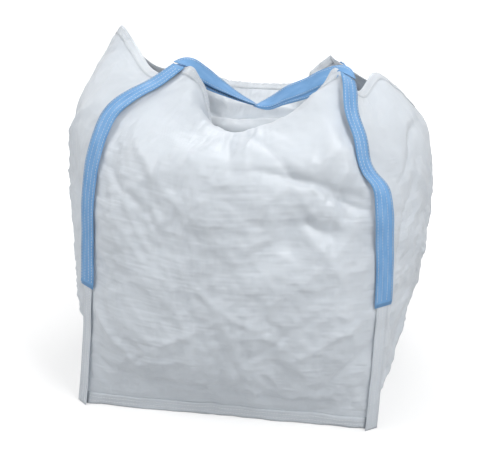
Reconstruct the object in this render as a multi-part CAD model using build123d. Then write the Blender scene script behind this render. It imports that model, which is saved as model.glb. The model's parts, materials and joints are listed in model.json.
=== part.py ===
from build123d import *
from math import hypot
import os

# Empty open-top bulk bag (FIBC) of woven polypropylene, standing with its mouth slumped inwards.
# Millimetres. +X is to the right, +Y to the back, +Z up; the origin is the middle of the flat base.

# Driving dimensions
BASE_HALF = 450.0        # half the side of the square base
FABRIC = 2.0             # thickness that stands for one wall panel and its coating
PANEL_INSET = 12.0       # a panel stops this far short of the corner seam line
SEAM_WIDTH = 45.0        # turned-out seam allowance at a corner
SEAM_NEAR, SEAM_FAR = 3.0, 5.0          # corner seam strip, measured out from the corner line
BASE_SEAM_HEIGHT = 42.0
BASE_SEAM_NEAR, BASE_SEAM_FAR = 3.0, 5.0
EDGE_INSET = 34.0        # hems and base seams stop this far short of the corner line
HEM_HEIGHT = 28.0        # folded hem along the rim
HEM_NEAR, HEM_FAR = 3.0, 4.6
WEBBING_WIDTH = 60.0
WEBBING = 2.0            # webbing thickness
INNER_LEG, OUTER_LEG = 5.6, 8.1         # near faces of the two sewn layers of a strap
LEG_BOTTOM = 410.0       # height at which the sewn straps end
LEG_TOP_GAP = 8.0        # a leg stops this far below the rim corner
LOOP_LENGTH = 330.0      # free length of a lifting loop, from the hinge line to its tip
LOOP_ROOT_RADIUS = 6.0
LOOP_TIP_RADIUS = 24.0
HINGE_RISE = 22.0        # hinge line above the rim corner
THREAD_WIDTH, THREAD = 2.0, 0.8
THREAD_GAP = 0.3
THREAD_END = 6.0         # stitching stops this far inside the end of the strip it holds
FIT = 1.0                # clear gap round the bottom panel
SWEEP = 900.0            # reach of the prisms that trim a wall to its rim line
BELOW_BASE = -1.0        # lower side of those prisms

# Heights at which the shape is given, then the corner seam lines at those heights (x, y)
LEVELS = (0, 130, 280, 430, 580, 720, 810, 870, 915, 960, 1010, 1110)
CORNERS = {
    "front_left": ((-450, -450), (-435, -450), (-420, -450), (-400, -450), (-390, -440), (-370, -430),
                   (-355, -405), (-340, -395), (-305, -360), (-225, -300), (-170, -250), (-120, -200)),
    "front_right": ((450, -450), (455, -450), (455, -450), (455, -450), (450, -450), (440, -430),
                    (400, -390), (375, -370), (365, -345), (355, -320), (340, -285), (330, -260)),
    "back_left": ((-450, 450), (-445, 440), (-440, 425), (-430, 405), (-420, 390), (-405, 370),
                  (-385, 350), (-350, 330), (-320, 305), (-305, 300), (-295, 295), (-290, 290)),
    "back_right": ((450, 450), (450, 445), (450, 430), (445, 415), (445, 400), (430, 385),
                   (405, 365), (350, 340), (295, 320), (255, 305), (245, 300), (235, 290)),
}
# Outward direction of each corner's seam and strap, and the height of the rim there
CORNER_FACING = {
    "front_left": (-0.51, -0.86),
    "front_right": (0.56, -0.83),
    "back_left": (-0.50, 0.87),
    "back_right": (0.50, 0.87),
}
CORNER_RIM = {"front_left": 1020, "front_right": 1045, "back_left": 930, "back_right": 980}
# Direction in which each lifting loop lies at rest: the front pair into the mouth, the back pair outside
LOOP_LIES = {
    "front_left": (0.54, 0.67, -0.51),
    "front_right": (-0.80, 0.40, -0.45),
    "back_left": (-0.34, 0.59, -0.73),
    "back_right": (0.34, 0.59, -0.73),
}

# Each wall: its two corners, the direction it faces, how far out its middle is at each height,
# and its rim line as (distance along the wall, height)
WALLS = {
    "front": {
        "corners": ("front_left", "front_right"),
        "out": (0, -1),
        "middle": (450, 510, 540, 555, 560, 545, 520, 460, 400, 350, 300, 250),
        "rim": ((-175, 1020), (-100, 985), (-60, 905), (0, 850), (90, 880), (165, 930), (280, 1010), (345, 1045)),
    },
    "back": {
        "corners": ("back_left", "back_right"),
        "out": (0, 1),
        "middle": (450, 460, 455, 440, 425, 400, 375, 355, 350, 350, 345, 345),
        "rim": ((-320, 935), (-230, 900), (-145, 875), (0, 875), (140, 870), (200, 915), (255, 980)),
    },
    "left": {
        "corners": ("front_left", "back_left"),
        "out": (-1, 0),
        "middle": (450, 530, 570, 590, 590, 580, 565, 550, 540, 515, 475, 400),
        "rim": ((-260, 1015), (-180, 1045), (0, 1100), (120, 1050), (210, 960), (310, 930)),
    },
    "right": {
        "corners": ("front_right", "back_right"),
        "out": (1, 0),
        "middle": (450, 510, 545, 575, 590, 575, 550, 520, 485, 430, 380, 300),
        "rim": ((-290, 1050), (-200, 965), (-80, 1000), (60, 900), (200, 930), (310, 985)),
    },
}


def between(low, high):
    """Heights of the sections of a loft from low to high."""
    return [low] + [z for z in LEVELS if low < z < high] + [high]


def at_height(values, z):
    """A number or a pair from a table by level, at any height."""
    for below, above, first, second in zip(LEVELS, LEVELS[1:], values, values[1:]):
        if z <= above:
            share = (z - below) / (above - below)
            if isinstance(first, tuple):
                return tuple(p + (q - p) * share for p, q in zip(first, second))
            return first + (second - first) * share
    return values[-1]


def wall_controls(wall, z, inset):
    """Control points of the quadratic curve of a wall at height z, cut short by inset at each end."""
    start, end = (Vector(*at_height(CORNERS[name], z)) for name in wall["corners"])
    out = Vector(*wall["out"])
    chord_middle = (start + end) / 2
    middle = chord_middle + out * (at_height(wall["middle"], z) - chord_middle.dot(out))
    handle = middle * 2 - chord_middle
    first = inset / (2 * (handle - start).length)
    last = 1 - inset / (2 * (end - handle).length)

    def blossom(u, v):
        return start * ((1 - u) * (1 - v)) + handle * (u * (1 - v) + v * (1 - u)) + end * (u * v)

    return blossom(first, first), blossom(first, last), blossom(last, last)


def wall_section(wall, z, near, far, inset):
    """Flat thin face of a wall at height z, between two distances out from the wall's line."""
    out = Vector(*wall["out"])
    lift = Vector(0, 0, z)
    inner = [point + out * near + lift for point in wall_controls(wall, z, inset)]
    outer = [point + out * far + lift for point in wall_controls(wall, z, inset)]
    edges = [
        Bezier(*inner),
        Line(inner[2], outer[2]),
        Bezier(*reversed(outer)),
        Line(outer[0], inner[0]),
    ]
    return make_face(edges)


def wall_band(wall, near, far, inset, low=LEVELS[0], high=LEVELS[-1]):
    """Sheet that follows a wall from height low to height high."""
    return loft([wall_section(wall, z, near, far, inset) for z in between(low, high)], ruled=True)


def rim_prism(wall, top_drop, bottom_drop=None):
    """Everything that lies between two copies of a wall's rim line, lowered by the two drops."""
    along_x = wall["out"][0] == 0

    def place(distance, height):
        return Vector(distance, 0, height) if along_x else Vector(0, distance, height)

    def line(drop):
        first, last = wall["rim"][0], wall["rim"][-1]
        points = [place(a, h - drop) for a, h in wall["rim"]]
        return place(-SWEEP, first[1] - drop), points, place(SWEEP, last[1] - drop)

    left_end, points, right_end = line(top_drop)
    edges = [Line(left_end, points[0]), Spline(*points), Line(points[-1], right_end)]
    if bottom_drop is None:
        low_left, low_right = place(-SWEEP, BELOW_BASE), place(SWEEP, BELOW_BASE)
        edges += [Line(right_end, low_right), Line(low_right, low_left), Line(low_left, left_end)]
    else:
        low_left, low_points, low_right = line(bottom_drop)
        edges += [
            Line(right_end, low_right),
            Line(low_right, low_points[-1]),
            Spline(*reversed(low_points)),
            Line(low_points[0], low_left),
            Line(low_left, left_end),
        ]
    return extrude(make_face(edges), amount=SWEEP, dir=Vector(*wall["out"]))


def strip(corner, low, high, near, far, sideways=0.0, width=SEAM_WIDTH):
    """Flat ribbon that follows a corner seam line."""
    out = Vector(*CORNER_FACING[corner]).normalized()
    along = Vector(-out.Y, out.X)
    sections = []
    for z in between(low, high):
        centre = Vector(*at_height(CORNERS[corner], z)) + Vector(0, 0, z) + along * sideways
        corners = [
            centre + out * depth + along * side
            for depth, side in ((near, -width / 2), (near, width / 2), (far, width / 2), (far, -width / 2))
        ]
        sections.append(make_face(Polyline(*corners, close=True)))
    return loft(sections, ruled=True)


def hinge_point(corner):
    """Middle of the line about which a lifting loop swings."""
    rim = CORNER_RIM[corner]
    out = Vector(*CORNER_FACING[corner]).normalized()
    middle_depth = (INNER_LEG + OUTER_LEG + WEBBING) / 2
    return Vector(*at_height(CORNERS[corner], rim)) + out * middle_depth + Vector(0, 0, rim + HINGE_RISE)


def hinge_axis(corner):
    """Unit vector along the hinge line; a positive turn lifts the loop."""
    x, y, _ = LOOP_LIES[corner]
    reach = hypot(x, y)
    return Vector(y / reach, -x / reach, 0)


def teardrop(root_radius, tip_radius, length):
    """Outline of two circles and their common tangents, the small one at the origin."""
    distance = length - LOOP_TIP_RADIUS
    sine = (tip_radius - root_radius) / distance
    cosine = (1 - sine ** 2) ** 0.5
    flanks = Polygon(
        (-root_radius * sine, -root_radius * cosine),
        (distance - tip_radius * sine, -tip_radius * cosine),
        (distance - tip_radius * sine, tip_radius * cosine),
        (-root_radius * sine, root_radius * cosine),
        align=None,
    )
    return flanks + Circle(root_radius) + Pos(distance, 0) * Circle(tip_radius)


def lifting_loop(corner):
    """Free part of a strap: one band of webbing bent round into a long teardrop."""
    plane = Plane(origin=hinge_point(corner), x_dir=Vector(*LOOP_LIES[corner]), z_dir=hinge_axis(corner))
    outline = teardrop(LOOP_ROOT_RADIUS, LOOP_TIP_RADIUS, LOOP_LENGTH)
    hollow = teardrop(LOOP_ROOT_RADIUS - WEBBING, LOOP_TIP_RADIUS - WEBBING, LOOP_LENGTH)
    return extrude(plane * (outline - hollow), amount=WEBBING_WIDTH / 2, both=True)


nodes = {}

# Panels
for name, wall in WALLS.items():
    nodes[f"{name}_panel"] = wall_band(wall, 0, FABRIC, PANEL_INSET) & rim_prism(wall, 0)
bottom_side = 2 * (BASE_HALF - FIT)
nodes["bottom_panel"] = Pos(0, 0, FABRIC / 2) * Box(bottom_side, bottom_side, FABRIC)

# Seams, hems and straps
for name, wall in WALLS.items():
    nodes[f"base_seam_{name}"] = wall_band(wall, BASE_SEAM_NEAR, BASE_SEAM_FAR, EDGE_INSET, 0, BASE_SEAM_HEIGHT)
    hem = wall_band(wall, HEM_NEAR, HEM_FAR, EDGE_INSET, LEVELS[5])
    nodes[f"rim_hem_{name}"] = hem & rim_prism(wall, 0, HEM_HEIGHT)
for corner in CORNERS:
    rim = CORNER_RIM[corner]
    leg_top = rim - LEG_TOP_GAP
    nodes[f"corner_seam_{corner}"] = strip(corner, FABRIC, rim - LEG_TOP_GAP, SEAM_NEAR, SEAM_FAR)
    for side, near in (("inner", INNER_LEG), ("outer", OUTER_LEG)):
        leg = strip(corner, LEG_BOTTOM, leg_top, near, near + WEBBING, width=WEBBING_WIDTH)
        nodes[f"strap_{side}_leg_{corner}"] = leg
    nodes[f"lifting_loop_{corner}"] = lifting_loop(corner)

# Stitching: two rows on every seam, hem and strap
ROW_HALF = THREAD_WIDTH / 2
for name, wall in WALLS.items():
    near = BASE_SEAM_FAR + THREAD_GAP
    rows = [
        wall_band(wall, near, near + THREAD, EDGE_INSET + THREAD_END, height - ROW_HALF, height + ROW_HALF)
        for height in (BASE_SEAM_HEIGHT / 3, BASE_SEAM_HEIGHT * 2 / 3)
    ]
    nodes[f"base_stitching_{name}"] = Compound(children=rows)
    near = HEM_FAR + THREAD_GAP
    sheet = wall_band(wall, near, near + THREAD, EDGE_INSET + THREAD_END, LEVELS[5])
    rows = [
        sheet & rim_prism(wall, drop - ROW_HALF, drop + ROW_HALF)
        for drop in (HEM_HEIGHT / 3, HEM_HEIGHT * 2 / 3)
    ]
    nodes[f"rim_stitching_{name}"] = Compound(children=rows)
for corner in CORNERS:
    near = SEAM_FAR + THREAD_GAP
    nodes[f"corner_stitching_{corner}"] = Compound(children=[
        strip(corner, THREAD_END, LEG_BOTTOM - THREAD_END, near, near + THREAD, side, THREAD_WIDTH)
        for side in (-SEAM_WIDTH / 4, SEAM_WIDTH / 4)
    ])
    near = OUTER_LEG + WEBBING + THREAD_GAP
    top = CORNER_RIM[corner] - LEG_TOP_GAP - THREAD_END
    nodes[f"strap_stitching_{corner}"] = Compound(children=[
        strip(corner, LEG_BOTTOM + THREAD_END, top, near, near + THREAD, side, THREAD_WIDTH)
        for side in (-WEBBING_WIDTH * 0.4, WEBBING_WIDTH * 0.4)
    ])

os.makedirs("parts", exist_ok=True)
for name, shape in nodes.items():
    export_step(shape, f"parts/{name}.step")
for corner in CORNERS:
    print(corner, "hinge", hinge_point(corner), "axis", hinge_axis(corner))
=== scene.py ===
import json
import math

import bpy
import numpy as np
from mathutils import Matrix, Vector


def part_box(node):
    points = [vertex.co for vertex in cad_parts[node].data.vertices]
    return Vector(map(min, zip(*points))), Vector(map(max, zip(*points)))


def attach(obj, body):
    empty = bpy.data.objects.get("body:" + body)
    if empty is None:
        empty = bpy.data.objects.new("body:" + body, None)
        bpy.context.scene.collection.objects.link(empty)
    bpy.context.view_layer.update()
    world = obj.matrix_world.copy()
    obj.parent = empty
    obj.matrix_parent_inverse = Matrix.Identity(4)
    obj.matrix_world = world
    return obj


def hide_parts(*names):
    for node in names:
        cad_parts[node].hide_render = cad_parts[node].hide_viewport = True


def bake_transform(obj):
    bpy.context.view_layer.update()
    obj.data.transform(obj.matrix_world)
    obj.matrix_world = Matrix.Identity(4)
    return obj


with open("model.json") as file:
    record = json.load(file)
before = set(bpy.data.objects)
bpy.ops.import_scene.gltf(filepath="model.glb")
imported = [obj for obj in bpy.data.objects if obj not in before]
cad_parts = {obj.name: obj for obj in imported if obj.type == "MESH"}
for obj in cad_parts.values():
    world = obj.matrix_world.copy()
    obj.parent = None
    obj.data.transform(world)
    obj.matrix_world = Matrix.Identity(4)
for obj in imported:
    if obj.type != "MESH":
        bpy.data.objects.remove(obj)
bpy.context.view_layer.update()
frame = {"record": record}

SEED = 7
WALLS = ("front", "right", "back", "left")
CORNERS = ("front_left", "front_right", "back_right", "back_left")
HANGING_CORNERS = ("back_right", "back_left")

# ---------------------------------------------------------------- sizes, in metres
PANEL_WIDTH, PANEL_HEIGHT = 0.90, 1.14
CLOTH = 0.0009
SEAM_WIDTH = 0.042
HEM = 0.028
WEBBING_WIDTH, WEBBING = 0.060, 0.0016
LEG_BOTTOM = 0.412
# Height of each layer above the wall: seam, its stitches, the two webbing legs and their stitches
SEAM_LAYER, SEAM_THREAD = 0.003, 0.0042
INNER_LAYER, OUTER_LAYER, STRAP_THREAD = 0.0052, 0.0073, 0.0084
SEAM_CLOTH = 0.0016
INNER_LAP = 0.010                            # by which the inner leg starts below the outer one
FRONT_TOP_GAP, BACK_TOP_GAP = 0.004, 0.042   # from the rim down to the end of the sewn legs
SEAM_ROWS = (-0.013, 0.0, 0.013)             # stitch rows, from the middle of the band
STRAP_ROWS = (-0.025, -0.009, 0.009, 0.025)
LOOP_ROWS = (-0.024, 0.024)
LOOP_POINTS = 90
BASE_SEAM = 0.042
STITCH, STITCH_STEP, THREAD = 0.0065, 0.009, 0.0011
BEND = 0.3
SLACK = 1.015
DRIFT, SAG, FLOOR_GAP = 0.9, 2e-5, 0.002     # share of speed kept, fall per round, least height
# The camera: millimetres of lens and sensor, place, and degrees turned left and tipped down
LENS, SENSOR = 65, 36
CAMERA_AT, CAMERA_YAW, CAMERA_PITCH = (0.49, -2.80, 1.50), 9.8, 20.7
# Looks: glow of the floor near and far, brightness of the sky overhead and low down, colour of the cloth
FLOOR_GLOW, FAR_GLOW = 0.44, 0.70
ZENITH, HORIZON = 0.50, 0.98
FABRIC_COLOUR = (0.585, 0.625, 0.67)
# Small creases: cells per metre and depth
CREASES = ((3.0, 0.0070), (7.0, 0.0058), (15.0, 0.0042), (31.0, 0.0024))
RIPPLE = 0.0010
# Single folds: wall share, distance up the cloth, direction in degrees, half length, half width, height
FOLDS = (
    (0.76, 0.64, 25, 0.15, 0.050, -0.026),
    (0.80, 0.78, -12, 0.17, 0.018, -0.017),
    (0.90, 0.74, -20, 0.09, 0.012, -0.015),
    (0.25, 0.80, -38, 0.20, 0.030, 0.012),
    (0.14, 0.72, -30, 0.10, 0.014, -0.009),
    (0.42, 0.90, 62, 0.09, 0.016, 0.009),
    (0.52, 0.92, 100, 0.08, 0.015, -0.010),
    (0.60, 0.93, 75, 0.08, 0.018, 0.010),
    (0.68, 0.86, 128, 0.13, 0.016, -0.009),
    (0.55, 0.40, -35, 0.14, 0.010, 0.006),
    (0.40, 0.33, 30, 0.12, 0.009, 0.005),
    (0.66, 0.30, 40, 0.10, 0.010, -0.006),
    (0.86, 0.33, 35, 0.12, 0.014, 0.009),
    (0.90, 0.22, 52, 0.10, 0.012, -0.009),
    (0.12, 0.27, -40, 0.12, 0.016, 0.010),
    (0.10, 0.16, -20, 0.10, 0.016, -0.008),
    (0.35, 0.12, 8, 0.16, 0.020, -0.007),
    (0.65, 0.10, -6, 0.18, 0.018, -0.007),
    (1.16, 0.62, 70, 0.15, 0.016, -0.010),
    (1.28, 0.90, 40, 0.16, 0.018, -0.011),
    (1.30, 0.52, 118, 0.14, 0.014, 0.009),
    (1.45, 0.75, 65, 0.16, 0.020, -0.010),
    (1.14, 0.35, 100, 0.10, 0.012, -0.010),
    (1.25, 0.25, 55, 0.12, 0.014, 0.009),
    (2.40, 1.02, 4, 0.20, 0.010, -0.012),
    (2.52, 0.98, -3, 0.20, 0.012, 0.012),
    (2.45, 0.94, 5, 0.18, 0.012, -0.012),
    (2.30, 0.50, 60, 0.20, 0.020, 0.012),
    (2.60, 0.35, 115, 0.20, 0.018, -0.011),
    (2.75, 0.55, 40, 0.16, 0.020, 0.010),
    (2.15, 0.30, 120, 0.14, 0.016, -0.009),
    (3.30, 0.60, 100, 0.22, 0.022, 0.012),
    (3.55, 0.42, 60, 0.20, 0.018, -0.010),
    (3.70, 0.82, 48, 0.16, 0.020, 0.009),
    (3.85, 0.60, 110, 0.16, 0.016, -0.009),
    (3.80, 0.25, 60, 0.14, 0.016, 0.009),
)

# Lines up the walls from base to rim, each at its share of the way round (one unit per wall)
LINES = (
    (0.0, ((-.45, -.45, 0), (-.425, -.45, .2), (-.405, -.45, .41), (-.39, -.44, .62), (-.38, -.43, .74),
           (-.365, -.42, .815), (-.35, -.4, .865), (-.325, -.365, .92), (-.285, -.34, .95),
           (-.225, -.29, .98), (-.165, -.25, 1.01), (-.15, -.235, 1.02))),
    (0.07, ((-.385, -.45, 0), (-.375, -.47, .1), (-.36, -.49, .25), (-.345, -.495, .45),
            (-.335, -.485, .63), (-.32, -.46, .77), (-.295, -.415, .87), (-.235, -.35, .94),
            (-.15, -.295, .995), (-.11, -.275, 1.035))),
    (0.15, ((-.315, -.45, 0), (-.315, -.46, .045), (-.31, -.48, .1), (-.295, -.515, .25),
            (-.285, -.525, .45), (-.28, -.52, .63), (-.265, -.495, .77), (-.24, -.445, .865),
            (-.175, -.36, .935), (-.095, -.28, .985), (-.08, -.25, .96))),
    (0.3, ((-.18, -.45, 0), (-.18, -.46, .045), (-.18, -.49, .1), (-.17, -.53, .22), (-.165, -.55, .41),
           (-.16, -.55, .58), (-.15, -.535, .74), (-.13, -.5, .84), (-.1, -.42, .875), (-.07, -.32, .91),
           (-.06, -.28, .875), (-.055, -.27, .83))),
    (0.5, ((0, -.45, 0), (0, -.46, .045), (0, -.49, .1), (0, -.535, .22), (.005, -.555, .4),
           (.01, -.56, .58), (.01, -.55, .73), (.015, -.515, .83), (.015, -.43, .86), (.015, -.34, .87),
           (.02, -.29, .835), (.02, -.275, .79))),
    (0.7, ((.18, -.45, 0), (.18, -.46, .045), (.18, -.49, .1), (.185, -.53, .22), (.19, -.55, .41),
           (.195, -.55, .58), (.195, -.54, .74), (.19, -.505, .845), (.17, -.42, .885), (.15, -.33, .91),
           (.15, -.29, .88), (.15, -.275, .83))),
    (0.85, ((.315, -.45, 0), (.315, -.46, .045), (.32, -.48, .1), (.325, -.515, .25), (.33, -.525, .45),
            (.33, -.52, .63), (.325, -.5, .77), (.31, -.455, .87), (.275, -.38, .945), (.235, -.31, .985),
            (.23, -.28, .955))),
    (0.93, ((.385, -.45, 0), (.39, -.47, .1), (.395, -.49, .25), (.4, -.495, .45), (.395, -.49, .62),
            (.385, -.47, .75), (.365, -.43, .85), (.33, -.36, .94), (.305, -.31, 1.01),
            (.295, -.29, 1.05))),
    (1.0, ((.45, -.45, 0), (.46, -.45, .2), (.465, -.45, .42), (.46, -.45, .595), (.45, -.45, .715),
           (.44, -.435, .75), (.405, -.42, .775), (.385, -.41, .805), (.37, -.4, .875), (.345, -.36, .94),
           (.33, -.3, 1.005), (.32, -.28, 1.02))),
    (1.15, ((.45, -.315, 0), (.475, -.315, .08), (.505, -.31, .3), (.515, -.305, .5), (.51, -.3, .65),
            (.49, -.285, .78), (.44, -.25, .88), (.365, -.2, .965))),
    (1.3, ((.45, -.18, 0), (.485, -.18, .07), (.53, -.17, .26), (.56, -.16, .46), (.57, -.15, .62),
           (.555, -.14, .76), (.515, -.13, .87), (.455, -.11, .95), (.395, -.1, 1.01))),
    (1.5, ((.45, 0, 0), (.5, 0, .07), (.555, 0, .26), (.59, 0, .46), (.6, 0, .62), (.585, 0, .75),
           (.55, 0, .85), (.505, 0, .9))),
    (1.7, ((.45, .18, 0), (.49, .18, .08), (.54, .18, .28), (.565, .18, .48), (.565, .18, .64),
           (.54, .18, .76), (.5, .17, .85), (.45, .15, .88))),
    (1.85, ((.45, .315, 0), (.47, .315, .1), (.505, .31, .3), (.51, .3, .5), (.49, .29, .66),
            (.44, .28, .8), (.37, .275, .885), (.3, .285, .93), (.285, .29, .95))),
    (2.0, ((.45, .45, 0), (.45, .445, .13), (.45, .43, .28), (.445, .41, .43), (.44, .395, .58),
           (.42, .38, .72), (.37, .355, .82), (.3, .33, .895), (.25, .335, .94), (.23, .345, .975))),
    (2.15, ((.315, .45, 0), (.315, .47, .15), (.31, .465, .4), (.3, .44, .6), (.27, .4, .76),
            (.22, .36, .85), (.18, .335, .895), (.17, .345, .92))),
    (2.3, ((.18, .45, 0), (.18, .475, .15), (.18, .475, .38), (.175, .43, .55), (.165, .32, .66),
           (.15, .19, .715), (.14, .145, .75), (.14, .17, .78), (.14, .21, .775), (.14, .24, .8),
           (.14, .345, .885))),
    (2.5, ((0, .45, 0), (0, .475, .15), (0, .48, .38), (-.01, .43, .55), (-.02, .31, .66), (-.03, .17, .71),
           (-.03, .12, .745), (-.03, .15, .77), (-.03, .195, .765), (-.02, .22, .79), (0, .345, .875))),
    (2.7, ((-.18, .45, 0), (-.18, .475, .15), (-.18, .475, .38), (-.18, .43, .55), (-.175, .32, .66),
           (-.165, .19, .715), (-.155, .14, .75), (-.15, .165, .78), (-.15, .205, .775), (-.15, .235, .8),
           (-.15, .345, .88))),
    (2.85, ((-.315, .45, 0), (-.31, .47, .15), (-.3, .46, .4), (-.29, .43, .6), (-.28, .38, .75),
            (-.26, .34, .86), (-.245, .32, .91))),
    (3.0, ((-.45, .45, 0), (-.445, .44, .13), (-.44, .415, .28), (-.43, .385, .43), (-.42, .365, .58),
           (-.405, .345, .72), (-.365, .33, .83), (-.33, .325, .88), (-.315, .33, .91))),
    (3.15, ((-.45, .315, 0), (-.475, .31, .08), (-.515, .3, .28), (-.535, .26, .5), (-.53, .25, .7),
            (-.495, .245, .82), (-.435, .225, .9), (-.395, .205, .935), (-.375, .205, .955))),
    (3.3, ((-.45, .18, 0), (-.49, .18, .08), (-.55, .165, .25), (-.575, .13, .48), (-.57, .125, .7),
           (-.55, .12, .86), (-.49, .1, .96), (-.405, .08, 1.045))),
    (3.5, ((-.45, 0, 0), (-.495, 0, .07), (-.555, -.01, .2), (-.585, -.03, .37), (-.59, -.035, .52),
           (-.58, -.03, .7), (-.545, -.02, .88), (-.48, -.015, 1), (-.4, -.02, 1.115))),
    (3.7, ((-.45, -.18, 0), (-.48, -.18, .07), (-.525, -.185, .2), (-.545, -.19, .4), (-.545, -.19, .6),
           (-.53, -.19, .78), (-.475, -.18, .92), (-.39, -.145, 1.015), (-.315, -.09, 1.04))),
    (3.85, ((-.45, -.315, 0), (-.46, -.32, .1), (-.475, -.33, .28), (-.48, -.33, .48), (-.47, -.325, .65),
            (-.455, -.32, .79), (-.4, -.305, .9), (-.325, -.28, .965), (-.235, -.22, 1.005))),
)
# Bearing of each corner's seam and strap, in degrees from +X, at heights up the wall
FACING = {
    "front_left": ((0, 239), (0.45, 239), (0.85, 240), (1.1, 250)),
    "front_right": ((0, 304), (0.70, 304), (0.80, 336), (1.1, 336)),
    "back_right": ((0, 60), (1.1, 60)),
    "back_left": ((0, 120), (1.1, 120)),
}


# ---------------------------------------------------------------- curves
def hermite(xs, ys, x):
    """Smooth line through ys at xs, read at each x."""
    xs, ys = np.asarray(xs, float), np.asarray(ys, float)
    slope = np.diff(ys, axis=0) / np.diff(xs)[:, None]
    width = np.diff(xs)[:, None]
    tangent = np.empty_like(ys)
    tangent[1:-1] = (slope[:-1] * width[1:] + slope[1:] * width[:-1]) / (width[1:] + width[:-1])
    tangent[0] = slope[0] * 1.5 - tangent[1] * 0.5 if len(xs) > 2 else slope[0]
    tangent[-1] = slope[-1] * 1.5 - tangent[-2] * 0.5 if len(xs) > 2 else slope[-1]
    k = np.clip(np.searchsorted(xs, x, side="right") - 1, 0, len(xs) - 2)
    h = (xs[k + 1] - xs[k])[:, None]
    u = (x - xs[k])[:, None] / h
    first = (2 * u ** 3 - 3 * u ** 2 + 1) * ys[k] + (u ** 3 - 2 * u ** 2 + u) * h * tangent[k]
    return first + (3 * u ** 2 - 2 * u ** 3) * ys[k + 1] + (u ** 3 - u ** 2) * h * tangent[k + 1]


def lengths(points):
    """Distance along a line of points, at each point."""
    return np.r_[0, np.cumsum(np.linalg.norm(np.diff(points, axis=0), axis=1))]


def along(points, shares):
    """Points at shares of the length of the smooth line through points."""
    points = np.array(points, float)
    at = lengths(points)
    fine = hermite(at, points, np.linspace(0, at[-1], 400))
    at = lengths(fine)
    return np.stack([np.interp(shares * at[-1], at, fine[:, k]) for k in range(3)], -1)


# ---------------------------------------------------------------- cloth
def slumped_shape(cols, rows):
    """Where the cloth of the four walls is wanted: (rows + 1) x (4 cols) points."""
    shares = np.linspace(0, 1, rows + 1)
    at = np.array([line[0] for line in LINES] + [4.0])
    lines = np.array([along(line[1], shares) for line in LINES])
    lines = np.concatenate([lines, lines[:1]])
    shape = np.empty((rows + 1, 4 * cols, 3))
    for wall in range(4):
        near = np.where((at >= wall - 1e-9) & (at <= wall + 1 + 1e-9))[0]
        places = np.arange(cols) / cols + wall
        for row in range(rows + 1):
            shape[row, wall * cols:(wall + 1) * cols] = hermite(at[near], lines[near, row], places)
    return shape


def thread_pairs(cols, rows, spans):
    """Pairs of points that the cloth keeps apart, in batches that touch no point twice."""
    index = np.arange((rows + 1) * 4 * cols).reshape(rows + 1, 4 * cols)
    right = np.roll(index, -1, 1)
    batches = []
    for k in (0, 1):
        batches.append(("across", index[:, k::2], right[:, k::2]))
        lower = index[k:-1:2]
        upper = index[k + 1::2][:len(lower)]
        batches.append(("up", lower, upper))
        batches.append(("bias", lower, right[k + 1::2][:len(lower)]))
        batches.append(("bias", right[k:-1:2], upper))
    columns, levels = np.arange(4 * cols), np.arange(rows + 1)
    for span in spans:
        for k in (0, 1):
            chosen = columns // span % 2 == k
            batches.append((("bend_across", span), index[:, chosen], np.roll(index, -span, 1)[:, chosen]))
            chosen = levels[(levels // span % 2 == k) & (levels + span <= rows)]
            batches.append((("bend_up", span), index[chosen], index[chosen + span]))
    return [(kind, a.ravel(), b.ravel()) for kind, a, b in batches]


def relax(points, wanted, hold, rounds, spans):
    """Lets cloth settle: it is drawn to the wanted shape, resists bending and sags a little. A thread rests
    at its flat length, or about its length in the wanted shape where that is less, so cloth can lose area."""
    rows, columns = points.shape[0] - 1, points.shape[1]
    step, rise = 4 * PANEL_WIDTH / columns, PANEL_HEIGHT / rows
    rest = {"across": step, "up": rise, "bias": math.hypot(step, rise)}
    stretched = {"across": 1, "up": 1, "bias": 0.5}
    squeezed = {"across": 0.5, "up": 0.5, "bias": 0.2}
    for span in spans:
        rest["bend_across", span], rest["bend_up", span] = span * step, span * rise
        stretched["bend_across", span] = stretched["bend_up", span] = 0
        squeezed["bend_across", span] = squeezed["bend_up", span] = BEND
    cloth, wanted = points.reshape(-1, 3).copy(), wanted.reshape(-1, 3)
    free = np.ones(len(cloth))
    free[:columns] = 0
    hold = hold.reshape(-1, 1) * free[:, None]
    before = cloth.copy()
    batches = []
    for kind, a, b in thread_pairs(columns // 4, rows, spans):
        apart = np.linalg.norm(wanted[b] - wanted[a], axis=1)
        allowed = apart * SLACK if isinstance(kind, str) else apart
        batches.append((kind, a, b, np.minimum(rest[kind], allowed)))
    for _ in range(rounds):
        drift = (cloth - before) * DRIFT
        before = cloth.copy()
        cloth += drift * free[:, None] + (wanted - cloth) * hold
        cloth[:, 2] -= SAG * free
        for kind, a, b, at_rest in batches:
            gap = cloth[b] - cloth[a]
            length = np.sqrt((gap * gap).sum(1)) + 1e-9
            extra = length - at_rest
            share = np.where(extra > 0, stretched[kind], squeezed[kind]) * extra / length
            free_a, free_b = free[a], free[b]
            share /= np.maximum(free_a + free_b, 1)
            cloth[a] += gap * (share * free_a)[:, None]
            cloth[b] -= gap * (share * free_b)[:, None]
        cloth[:, 2] = np.maximum(cloth[:, 2], FLOOR_GAP * free)
    return cloth.reshape(points.shape)


def refined(points):
    """The same cloth with twice the rows and columns."""
    rows, columns, _ = points.shape
    wide = np.empty((rows, 2 * columns, 3))
    wide[:, 0::2] = points
    wide[:, 1::2] = (points + np.roll(points, -1, 1)) / 2
    tall = np.empty((2 * rows - 1, 2 * columns, 3))
    tall[0::2] = wide
    tall[1::2] = (wide[1:] + wide[:-1]) / 2
    return tall


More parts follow.
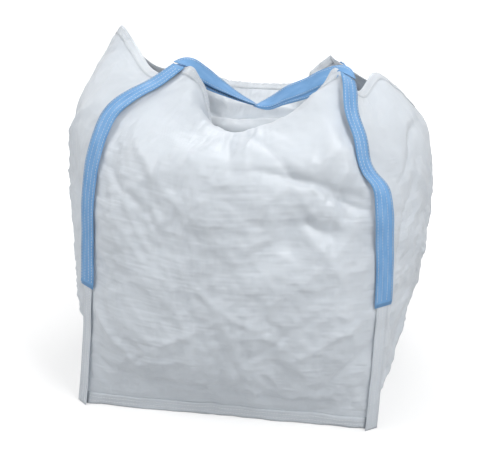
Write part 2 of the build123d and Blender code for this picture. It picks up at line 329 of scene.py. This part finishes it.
def settled_cloth():
    """The four walls as one tube of cloth, relaxed from a coarse net to a fine one."""
    random = np.random.default_rng(SEED)
    stages = (
        (30, 38, 100, 0.03, (2,)),
        (60, 76, 70, 0.015, (2, 4)),
        (120, 152, 40, 0.01, (2, 4, 8)),
    )
    cloth = None
    for cols, rows, rounds, pull, spans in stages:
        wanted = slumped_shape(cols, rows)
        cloth = wanted + random.normal(0, 0.002, wanted.shape) if cloth is None else refined(cloth)
        across = (np.arange(4 * cols) % cols) / cols
        hold = np.full((rows + 1, 4 * cols), pull)
        hold += 0.3 * np.exp(-(np.minimum(across, 1 - across) / 0.03) ** 2)
        cloth = relax(cloth, wanted, hold, rounds, spans)
    return cloth


def net_normals(points):
    """Outward unit normals of the tube of cloth."""
    across = np.roll(points, -1, 1) - np.roll(points, 1, 1)
    up = np.gradient(points, axis=0)
    normal = np.cross(across, up)
    return normal / (np.linalg.norm(normal, axis=2, keepdims=True) + 1e-12)


def value_noise(u, v, random):
    """Smooth noise between -1 and 1; u and v are in cells."""
    cells_u, cells_v = int(np.ceil(u.max())) + 2, int(np.ceil(v.max())) + 2
    lattice = random.uniform(-1, 1, (cells_u + 1, cells_v + 1))
    i, j = np.floor(u).astype(int), np.floor(v).astype(int)
    fu, fv = u - i, v - j
    fu, fv = fu * fu * fu * (fu * (fu * 6 - 15) + 10), fv * fv * fv * (fv * (fv * 6 - 15) + 10)
    low = lattice[i, j] * (1 - fu) + lattice[i + 1, j] * fu
    high = lattice[i, j + 1] * (1 - fu) + lattice[i + 1, j + 1] * fu
    return low * (1 - fv) + high * fv


def crumpled(points):
    """Adds the small creases of stiff woven sheet: flat facets with sharp edges and fine level ripples."""
    random = np.random.default_rng(SEED + 1)
    rows, columns, _ = points.shape
    u = np.arange(columns)[None, :] * (4 * PANEL_WIDTH / columns) * np.ones((rows, 1))
    v = np.arange(rows)[:, None] * (PANEL_HEIGHT / (rows - 1)) * np.ones((1, columns))
    warp = value_noise(u * 7, v * 7, random) * 0.04
    height = np.zeros((rows, columns))
    for scale, depth in CREASES:
        for turn in (0.35, 1.25, 2.2):
            along_u = (u + warp) * math.cos(turn) + (v - warp) * math.sin(turn) + 4
            along_v = -(u + warp) * math.sin(turn) + (v - warp) * math.cos(turn) + 5
            noise = value_noise(along_u * scale, along_v * scale * 1.6, random)
            height += depth * (0.3 - np.abs(noise))
    height += RIPPLE * value_noise(u * 6, v * 45, random)
    height *= np.interp(v, (0.72, 0.90), (1.0, 0.45))
    for share, rise, turn, half_length, half_width, depth in FOLDS:
        away_u, away_v = u - share * PANEL_WIDTH, v - rise
        turn = math.radians(turn)
        lengthwise = (away_u * math.cos(turn) + away_v * math.sin(turn)) / half_length
        bend = value_noise(lengthwise * 2 + 40, np.zeros_like(u), random) * half_width * 0.6
        sideways = (away_v * math.cos(turn) - away_u * math.sin(turn) + bend) / half_width
        height += 1.5 * depth * np.exp(-lengthwise ** 2) / (1 + np.abs(sideways) ** 1.5)
    around = np.arange(columns) % (columns // 4) / (columns // 4)
    edge = np.minimum(around, 1 - around)[None, :]
    fade = np.minimum(1, v / 0.10) * (0.15 + 0.85 * np.minimum(1, edge / 0.06))
    return points + net_normals(points) * (height * fade)[..., None]


CLOTH_POINTS = crumpled(settled_cloth())
ROWS, COLUMNS = CLOTH_POINTS.shape[0] - 1, CLOTH_POINTS.shape[1]
PER_WALL = COLUMNS // 4


NORMALS = net_normals(CLOTH_POINTS)


# ---------------------------------------------------------------- meshes
def make_mesh(name, vertices, faces, material, uvs=None, smooth=True):
    mesh = bpy.data.meshes.new(name)
    mesh.from_pydata([tuple(v) for v in vertices], [], [tuple(int(i) for i in f) for f in faces])
    mesh.materials.append(material)
    if uvs is not None:
        layer = mesh.uv_layers.new(name="cloth")
        loops = np.empty(len(mesh.loops), np.int32)
        mesh.loops.foreach_get("vertex_index", loops)
        layer.data.foreach_set("uv", np.asarray(uvs, np.float32)[loops].ravel())
    if smooth:
        mesh.polygons.foreach_set("use_smooth", np.ones(len(mesh.polygons), bool))
    mesh.update()
    piece = bpy.data.objects.new(name, mesh)
    bpy.context.scene.collection.objects.link(piece)
    return piece


def grid_faces(rows, columns):
    """Quads of a grid of rows x columns points."""
    index = np.arange(rows * columns).reshape(rows, columns)
    return np.stack([index[:-1, :-1], index[:-1, 1:], index[1:, 1:], index[1:, :-1]], -1).reshape(-1, 4)


def thicken(piece, thickness, offset=0.0):
    solid = piece.modifiers.new("thickness", "SOLIDIFY")
    solid.thickness = thickness
    solid.offset = offset
    return piece


def ribbon(name, centres, sideways, width, material, thickness, across=5, shift=0.0):
    """Flat band along centres; sideways is its unit width direction at each centre."""
    offsets = np.linspace(-0.5, 0.5, across) * width + shift
    points = centres[:, None] + sideways[:, None] * offsets[None, :, None]
    at = lengths(centres)
    uvs = np.stack(np.broadcast_arrays(offsets[None, :], at[:, None]), -1).reshape(-1, 2)
    piece = make_mesh(name, points.reshape(-1, 3), grid_faces(len(centres), across), material, uvs)
    return thicken(piece, thickness)


# ---------------------------------------------------------------- materials
class Nodes:
    """Short way to add and join shader nodes of one material."""

    def __init__(self, name, roughness, specular=0.5):
        self.material = bpy.data.materials.new(name)
        self.material.use_nodes = True
        self.tree = self.material.node_tree
        self.shader = self.tree.nodes["Principled BSDF"]
        self.shader.inputs["Roughness"].default_value = roughness
        self.shader.inputs["Specular IOR Level"].default_value = specular

    def add(self, kind, settings=None, **inputs):
        node = self.tree.nodes.new(kind)
        for key, value in (settings or {}).items():
            setattr(node, key, value)
        for key, value in inputs.items():
            self.join(value, node.inputs[int(key[1:])] if key[0] == "n" and key[1:].isdigit() else
                      node.inputs[key.replace("_", " ")])
        return node

    def join(self, value, socket):
        if isinstance(value, bpy.types.Node):
            value = value.outputs[0]
        if isinstance(value, bpy.types.NodeSocket):
            self.tree.links.new(value, socket)
        else:
            socket.default_value = value

    def math(self, operation, first, second=0.0):
        return self.add("ShaderNodeMath", {"operation": operation}, n0=first, n1=second)

    def cloth_coordinates(self, scale=(1, 1, 1)):
        uv = self.add("ShaderNodeUVMap", {"uv_map": "cloth"})
        return self.add("ShaderNodeMapping", None, n0=uv, n3=scale)

    def noise(self, scale, detail=3.0, stretch=(1, 1, 1)):
        return self.add("ShaderNodeTexNoise", None, Vector=self.cloth_coordinates(stretch), Scale=scale,
                        Detail=detail)

    def weave(self, step):
        """Plain weave of flat tapes, step metres apart each way: -1 to 1."""
        uv = self.add("ShaderNodeSeparateXYZ", None, n0=self.cloth_coordinates((math.pi / step,) * 3))
        return self.math("MULTIPLY", self.math("SINE", uv.outputs[0]), self.math("SINE", uv.outputs[1]))

    def colours(self, factor, *stops):
        ramp = self.add("ShaderNodeValToRGB", None, n0=factor)
        elements = ramp.color_ramp.elements
        while len(elements) < len(stops):
            elements.new(0.5)
        for element, (place, colour) in zip(elements, stops):
            element.position = place
            element.color = (*colour, 1)
        self.join(ramp, self.shader.inputs["Base Color"])
        return ramp

    def bump(self, height, distance, strength=1.0, below=None):
        inputs = {"Height": height, "Distance": distance, "Strength": strength}
        if below is not None:
            inputs["Normal"] = below
        return self.add("ShaderNodeBump", None, **inputs)

    def finish(self, normal):
        self.join(normal, self.shader.inputs["Normal"])
        return self.material


def tinted(colour, share):
    return tuple(c * share for c in colour)


def fabric_material(name, colour, crease):
    """Coated woven polypropylene: flat tapes, level ripples, small sharp creases and a soft sheen."""
    m = Nodes(name, 0.42, 0.5)
    m.shader.inputs["Sheen Weight"].default_value = 0.05
    m.shader.inputs["Subsurface Weight"].default_value = 0.6
    m.shader.inputs["Subsurface Radius"].default_value = (1.0, 1.0, 1.0)
    m.shader.inputs["Subsurface Scale"].default_value = 0.002
    tone = m.noise(6.0, 4.0)
    m.colours(tone, (0.25, tinted(colour, 0.92)), (0.75, tinted(colour, 1.06)))
    level = m.add("ShaderNodeSeparateXYZ", None, n0=m.add("ShaderNodeUVMap", {"uv_map": "cloth"}))
    low = m.add("ShaderNodeMapRange", None, n0=level.outputs[1], n1=0.70, n2=0.92, n3=1.0, n4=0.25)
    ripple = m.math("MULTIPLY", m.noise(1.0, 4.0, (8, 90, 1)), low)
    creases = m.noise(26.0, 5.0)
    sharp = m.math("MULTIPLY", m.math("ABSOLUTE", m.math("SUBTRACT", creases, 0.5)), low)
    normal = m.bump(sharp, crease * 2, 1.0)
    normal = m.bump(ripple, 0.0024, 1.0, normal)
    normal = m.bump(m.weave(0.0032), 0.00016, 0.8, normal)
    m.join(m.add("ShaderNodeMapRange", None, n0=tone, n3=0.30, n4=0.48), m.shader.inputs["Roughness"])
    return m.finish(normal)


def webbing_material():
    """Blue polypropylene webbing: fine lengthwise ribs crossed by picks, paler where it is rubbed."""
    m = Nodes("blue_webbing", 0.55, 0.2)
    m.shader.inputs["Sheen Weight"].default_value = 0.05
    tone = m.noise(40.0, 5.0, (1, 0.35, 1))
    m.colours(tone, (0.25, (0.135, 0.305, 0.57)), (0.5, (0.175, 0.365, 0.64)), (0.8, (0.26, 0.45, 0.71)))
    ribs = m.weave(0.0022)
    return m.finish(m.bump(m.noise(90.0, 2.0), 0.0006, 0.5, m.bump(ribs, 0.00035, 1.0)))


def thread_material():
    m = Nodes("white_thread", 0.75, 0.3)
    tone = m.add("ShaderNodeTexNoise", None, Scale=300.0)
    m.colours(tone, (0.3, (0.70, 0.72, 0.73)), (0.7, (0.82, 0.83, 0.83)))
    return m.finish(m.bump(m.add("ShaderNodeTexNoise", None, Scale=900.0), 0.0003, 0.6))


def floor_material():
    """Pale floor that reads as white paper, with only soft shadows."""
    m = Nodes("pale_floor", 0.95, 0.0)
    m.shader.inputs["Base Color"].default_value = (0.58, 0.58, 0.58, 1)
    m.shader.inputs["Emission Color"].default_value = (1, 1, 1, 1)
    place = m.add("ShaderNodeVectorMath", {"operation": "LENGTH"}, n0=m.add("ShaderNodeNewGeometry"))
    glow = m.add("ShaderNodeMapRange", None, n0=place.outputs["Value"], n1=0.7, n2=2.2,
                 n3=FLOOR_GLOW, n4=FAR_GLOW)
    seen = m.add("ShaderNodeLightPath")
    m.join(m.math("MULTIPLY", seen.outputs["Is Camera Ray"], glow), m.shader.inputs["Emission Strength"])
    return m.material


FABRIC = fabric_material("woven_polypropylene", FABRIC_COLOUR, 0.0016)
SEAM = fabric_material("seam_fabric", FABRIC_COLOUR, 0.0010)
WEB = webbing_material()
WHITE_THREAD = thread_material()
FLOOR = floor_material()


# ---------------------------------------------------------------- pieces
def wall_columns(k):
    return [(k * PER_WALL + j) % COLUMNS for j in range(PER_WALL + 1)]


def claim(piece, slot, *nodes, body="bag"):
    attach(piece, body)
    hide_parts(*nodes)
    return piece


def build_hem(k, wall):
    """Folded hem over the rim, a flattened U in section."""
    columns = wall_columns(k)
    band = round(HEM / PANEL_HEIGHT * ROWS)
    points, normals = CLOTH_POINTS[-band - 1:, columns], NORMALS[-band - 1:, columns]
    lift = 0.0011
    up = points[-1] - points[-2]
    crest = points[-1] + up / np.linalg.norm(up, axis=1, keepdims=True) * 0.0012
    section = np.concatenate([points + normals * lift, crest[None], (points - normals * lift)[::-1]])
    u = np.linspace(0, PANEL_WIDTH, section.shape[1])
    v = np.linspace(0, 2 * HEM, section.shape[0])
    uvs = np.stack(np.meshgrid(u, v), -1).reshape(-1, 2)
    piece = make_mesh(f"{wall}_hem", section.reshape(-1, 3), grid_faces(*section.shape[:2]), SEAM, uvs)
    thicken(piece, 0.0008, 1.0)
    return claim(piece, "seam_fabric", f"rim_hem_{wall}")


def stitch_mesh(name, rows):
    """One mesh of many separate stitches; rows is a list of (points, outward directions) lines."""
    share = np.array([0.0, 0.2, 0.8, 1.0])
    swell = np.array([0.45, 1.0, 1.0, 0.45])
    lift = np.array([-0.9, 0.5, 0.5, -0.9])
    vertices, faces = [], []
    for line, outward in rows:
        at = lengths(line)
        for start in np.arange(STITCH_STEP / 2, at[-1] - STITCH, STITCH_STEP):
            stations = start + share * STITCH
            centre = np.stack([np.interp(stations, at, line[:, c]) for c in range(3)], -1)
            out = np.array([np.interp(start, at, outward[:, c]) for c in range(3)])
            out /= np.linalg.norm(out)
            ahead = centre[-1] - centre[0]
            ahead /= np.linalg.norm(ahead) + 1e-9
            across = np.cross(out, ahead)
            first = len(vertices)
            for point, size, rise in zip(centre, swell, lift):
                middle = point + out * rise * THREAD * 0.5
                for side, height in ((-1, 0), (0, 1), (1, 0), (0, -1)):
                    vertices.append(middle + (across * side + out * height) * size * THREAD * 0.5)
            for ring in range(3):
                for side in range(4):
                    low, high = first + 4 * ring, first + 4 * ring + 4
                    faces.append((low + side, low + (side + 1) % 4, high + (side + 1) % 4, high + side))
            faces.append(tuple(first + i for i in (3, 2, 1, 0)))
            faces.append(tuple(first + 12 + i for i in range(4)))
    return make_mesh(name, vertices, faces, WHITE_THREAD)


def build_panels():
    for k, wall in enumerate(WALLS):
        columns = wall_columns(k)
        points = CLOTH_POINTS[:, columns].reshape(-1, 3)
        across = np.linspace(0, PANEL_WIDTH, PER_WALL + 1) + k
        u, v = np.meshgrid(across, np.linspace(0, PANEL_HEIGHT, ROWS + 1))
        piece = make_mesh(f"{wall}_fabric", points, grid_faces(ROWS + 1, PER_WALL + 1), FABRIC,
                          np.stack([u, v], -1).reshape(-1, 2))
        thicken(piece, CLOTH)
        claim(piece, "panel_fabric", f"{wall}_panel")
        hem = build_hem(k, wall)
        rim = []
        for row in (1, 3):
            line, out = CLOTH_POINTS[-row - 1, columns[3:-3]], NORMALS[-row - 1, columns[3:-3]]
            rim.append((line + out * 0.0021, out))
            rim.append((line - out * 0.0021, -out))
        threads = claim(stitch_mesh(f"{wall}_hem_stitches", rim), "thread", f"rim_stitching_{wall}")


def build_base():
    side = 0.447
    steps = 40
    x, y = np.meshgrid(np.linspace(-side, side, steps), np.linspace(-side, side, steps))
    random = np.random.default_rng(SEED + 2)
    z = 0.0018 + 0.0012 * value_noise((x + side) * 9, (y + side) * 9, random)
    points = np.stack([x, y, z], -1).reshape(-1, 3)
    uvs = np.stack([x, y], -1).reshape(-1, 2) + 1
    bottom = make_mesh("bottom_fabric", points, grid_faces(steps, steps), FABRIC, uvs)
    thicken(bottom, CLOTH)
    claim(bottom, "panel_fabric", "bottom_panel")
    outwards = {"front": (0, -1, 0), "right": (1, 0, 0), "back": (0, 1, 0), "left": (-1, 0, 0)}
    for k, wall in enumerate(WALLS):
        out = np.array(outwards[wall], float)
        columns = wall_columns(k)[2:-2]
        rise = PANEL_HEIGHT / ROWS
        heights = np.linspace(0, 1, 7)
        below = np.minimum((heights * BASE_SEAM / rise).astype(int), ROWS - 1)
        share = (heights * BASE_SEAM / rise - below)[:, None, None]
        foot = CLOTH_POINTS[:, columns]
        flare = value_noise(np.linspace(0, 9, len(columns)), np.zeros(len(columns)), random) * 0.0016 + 0.0024
        lift = 0.0018 + flare[None, :] * (1 - heights[:, None]) ** 2
        section = foot[below] * (1 - share) + foot[below + 1] * share + out * lift[..., None]
        section[..., 2] = np.maximum(section[..., 2], 0.0012)
        u = np.linspace(0, PANEL_WIDTH, len(columns))
        uvs = np.stack(np.meshgrid(u, heights * BASE_SEAM), -1).reshape(-1, 2)
        strip = make_mesh(f"{wall}_base_seam", section.reshape(-1, 3), grid_faces(*section.shape[:2]),
                          SEAM, uvs)
        thicken(strip, 0.0016)
        claim(strip, "seam_fabric", f"base_seam_{wall}")
        rows = [(section[row] + out * 0.0012, np.tile(out, (len(columns), 1))) for row in (2, 4)]
        claim(stitch_mesh(f"{wall}_base_stitches", rows), "thread", f"base_stitching_{wall}")


def softened(line, passes):
    """The line with its small kinks smoothed out, ends kept."""
    line = line.copy()
    for _ in range(passes):
        line[1:-1] = (line[:-2] + 2 * line[1:-1] + line[2:]) / 4
    return line


def corner_frame(k):
    """Centre line of corner k from base to rim, with its outward and sideways directions."""
    reach = 4
    columns = [(k * PER_WALL + step) % COLUMNS for step in range(-reach, reach + 1)]
    near = CLOTH_POINTS[:, columns]
    line = softened(near[:, reach], 10)
    climb = np.gradient(line, axis=0)
    climb /= np.linalg.norm(climb, axis=1, keepdims=True)
    side = near[:, -1] - near[:, 0]
    side /= np.linalg.norm(side, axis=1, keepdims=True)
    heights, bearings = zip(*FACING[CORNERS[k]])
    bearing = np.radians(np.interp(line[:, 2], heights, bearings))
    flat = np.stack([-np.sin(bearing), np.cos(bearing), np.zeros(len(bearing))], -1)
    side = softened(side * 0.4 + flat * 0.6, 30)
    side -= (side * climb).sum(1)[:, None] * climb
    side /= np.linalg.norm(side, axis=1, keepdims=True)
    out = np.cross(side, climb)
    depth = ((near - line[:, None]) * out[:, None]).sum(2).max(1)
    for _ in range(4):
        depth[1:-1] = np.maximum(depth[1:-1], np.maximum(depth[:-2], depth[2:]))
    line = line + out * softened(np.maximum(depth, 0)[:, None], 12)
    return line, out, side


def build_corners():
    for k, corner in enumerate(CORNERS):
        line, out, side = corner_frame(k)
        at = lengths(line)
        top_gap = BACK_TOP_GAP if corner in HANGING_CORNERS else FRONT_TOP_GAP
        sewn = at <= at[-1] - top_gap
        fin = ribbon(f"{corner}_seam", (line + out * SEAM_LAYER)[sewn], side[sewn], SEAM_WIDTH, SEAM,
                     SEAM_CLOTH)
        claim(fin, "seam_fabric", f"corner_seam_{corner}")
        low = at < LEG_BOTTOM - 0.004
        rows = [(line[low] + out[low] * SEAM_THREAD + side[low] * shift, out[low]) for shift in SEAM_ROWS]
        claim(stitch_mesh(f"{corner}_seam_stitches", rows), "thread", f"corner_stitching_{corner}")
        layers = (("inner", LEG_BOTTOM - INNER_LAP, INNER_LAYER), ("outer", LEG_BOTTOM, OUTER_LAYER))
        for layer, start, depth in layers:
            rows = (at >= start) & (at <= at[-1] - top_gap)
            centres = line[rows] + out[rows] * depth
            leg = ribbon(f"{corner}_strap_{layer}", centres, side[rows], WEBBING_WIDTH, WEB, WEBBING)
            claim(leg, "webbing", f"strap_{layer}_leg_{corner}")
        sewn = (at >= LEG_BOTTOM + 0.008) & (at <= at[-1] - top_gap - 0.006)
        rows = [(line[sewn] + out[sewn] * STRAP_THREAD + side[sewn] * shift, out[sewn])
                for shift in STRAP_ROWS]
        claim(stitch_mesh(f"{corner}_strap_stitches", rows), "thread", f"strap_stitching_{corner}")


# ---------------------------------------------------------------- lifting loops
# Upper leg of each loop that lies in the mouth, from just past its sewn root to its tip: x, y, z and the
# degrees by which the webbing is rolled up from level; then where its lower leg starts, seen from the upper
LYING = {
    "front_left": {
        "route": ((-.13, -.20, 1.02, 60), (-.10, -.16, .99, 60), (-.06, -.11, .95, 40), (-.01, -.07, .91, 20),
                  (.03, -.03, .88, 10)),
        "lower": (0, .015, -.025),
    },
    "front_right": {
        "route": ((.30, -.24, 1.02, 50), (.25, -.21, 1.00, 55), (.20, -.18, .97, 50), (.14, -.15, .94, 45),
                  (.09, -.13, .91, 30), (.05, -.12, .90, 0)),
        "lower": (0, -.015, -.02),
    },
}


# A loop that hangs outside, seen from the side: distance out from the rim corner and height above it
HANGING = ((.010, -.044), (.022, -.036), (.040, -.050), (.078, -.110), (.118, -.180), (.145, -.240),
           (.155, -.270), (.147, -.282), (.130, -.255), (.096, -.185), (.060, -.115), (.032, -.072),
           (.012, -.056))


def unit(vectors):
    return vectors / np.linalg.norm(vectors, axis=-1, keepdims=True)


def lying_loop(corner):
    """Centre line and width directions of a front loop, which lies in the mouth."""
    line, out, side = corner_frame(CORNERS.index(corner))
    stations = np.array(LYING[corner]["route"])
    upper, roll = stations[:, :3], np.radians(stations[:, 3:])
    ahead = unit(np.gradient(upper, axis=0))
    level = unit(np.cross(ahead, (0, 0, 1)))
    level *= np.sign(level[:, 1:2])
    rise = np.cross(level, ahead)
    rise *= np.sign(rise[:, 2:3])
    width = level * np.cos(roll) + rise * np.sin(roll)
    share = np.linspace(1, 0, len(upper))[:, None]
    lower = upper + np.array(LYING[corner]["lower"]) * share
    sewn_side = side[-1] * np.sign(side[-1] @ width[0])
    start = line[-1] + out[-1] * OUTER_LAYER
    end = line[-1] + out[-1] * INNER_LAYER - np.array((0, 0, INNER_LAP))
    centres = np.concatenate([[start], upper, lower[-2::-1], [end]])
    widths = np.concatenate([[sewn_side], width, width[-2::-1], [sewn_side]])
    return centres, widths


def hanging_loop(corner):
    """Centre line and width directions of a back loop, which hangs outside the bag."""
    line, out, side = corner_frame(CORNERS.index(corner))
    swing = unit(out[-1] * (1, 1, 0))
    centres = np.array([line[-1] + swing * reach + np.array((0, 0, rise)) for reach, rise in HANGING])
    return centres, np.tile(side[-1], (len(HANGING), 1))


def build_loops():
    joints = {joint["name"]: joint for joint in frame["record"]["behaviour"]["joints"]}
    for corner in CORNERS:
        centres, widths = hanging_loop(corner) if corner in HANGING_CORNERS else lying_loop(corner)
        at = lengths(centres)
        fine = np.linspace(0, at[-1], LOOP_POINTS)
        line, width = hermite(at, centres, fine), hermite(at, widths, fine)
        ahead = np.gradient(line, axis=0)
        ahead /= np.linalg.norm(ahead, axis=1, keepdims=True)
        width -= (width * ahead).sum(1)[:, None] * ahead
        width /= np.linalg.norm(width, axis=1, keepdims=True)
        loop = ribbon(f"{corner}_loop_webbing", line, width, WEBBING_WIDTH, WEB, WEBBING)
        face = np.cross(width, ahead)
        rows = [(line + face * side * WEBBING * 0.75 + width * shift, face * side)
                for side in (-1, 1) for shift in LOOP_ROWS]
        seams = stitch_mesh(f"{corner}_loop_stitches", rows)
        joint = joints[f"{corner}_loop_swing"]
        hinge = np.array(joint["pos_m"])
        low, high = (np.array(c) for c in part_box(f"lifting_loop_{corner}"))
        lies = (low + high) / 2 - hinge
        lies /= np.linalg.norm(lies)
        if corner not in HANGING_CORNERS:
            leg, _, _ = corner_frame(CORNERS.index(corner))
        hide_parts(f"lifting_loop_{corner}")
        for piece in (loop, seams):
            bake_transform(piece)


def build_camera():
    data = bpy.data.cameras.new("camera")
    data.lens, data.sensor_width = LENS, SENSOR
    camera = bpy.data.objects.new("camera", data)
    camera.location = CAMERA_AT
    yaw, pitch = math.radians(CAMERA_YAW), math.radians(CAMERA_PITCH)
    look = Vector((-math.sin(yaw) * math.cos(pitch), math.cos(yaw) * math.cos(pitch), -math.sin(pitch)))
    camera.rotation_euler = look.to_track_quat("-Z", "Y").to_euler()
    bpy.context.scene.collection.objects.link(camera)
    bpy.context.scene.camera = camera


def area_light(name, place, target, size, power):
    data = bpy.data.lights.new(name, "AREA")
    data.shape, data.size, data.energy = "DISK", size, power
    light = bpy.data.objects.new(name, data)
    light.location = place
    light.rotation_euler = (Vector(target) - Vector(place)).to_track_quat("-Z", "Y").to_euler()
    bpy.context.scene.collection.objects.link(light)


def build_stage():
    side = 30.0
    floor = make_mesh("floor", [(-side, -side, 0), (side, -side, 0), (side, side, 0), (-side, side, 0)],
                      [(0, 1, 2, 3)], FLOOR, smooth=False)
    floor.location.z = -0.0005
    world = bpy.data.worlds.new("studio")
    world.use_nodes = True
    tree = world.node_tree
    background = tree.nodes["Background"]
    background.inputs[0].default_value = (1, 1, 1, 1)
    place = tree.nodes.new("ShaderNodeTexCoord")
    split = tree.nodes.new("ShaderNodeSeparateXYZ")
    sky = tree.nodes.new("ShaderNodeMapRange")
    sky.inputs[1].default_value, sky.inputs[2].default_value = 0.0, 1.0
    sky.inputs[3].default_value, sky.inputs[4].default_value = HORIZON, ZENITH
    tree.links.new(place.outputs["Generated"], split.inputs[0])
    tree.links.new(split.outputs[2], sky.inputs[0])
    tree.links.new(sky.outputs[0], background.inputs[1])
    bpy.context.scene.world = world
    area_light("right key", (1.7, -1.8, 3.0), (0, 0, 0.6), 1.2, 50)
    area_light("left key", (-2.0, -1.4, 3.0), (0, 0, 0.6), 1.2, 30)
    area_light("back", (0.2, 1.8, 3.4), (0, 0, 0.7), 1.8, 30)
    bpy.context.scene.view_settings.view_transform = "Standard"


build_camera()
build_stage()
build_panels()
build_base()
build_corners()
build_loops()
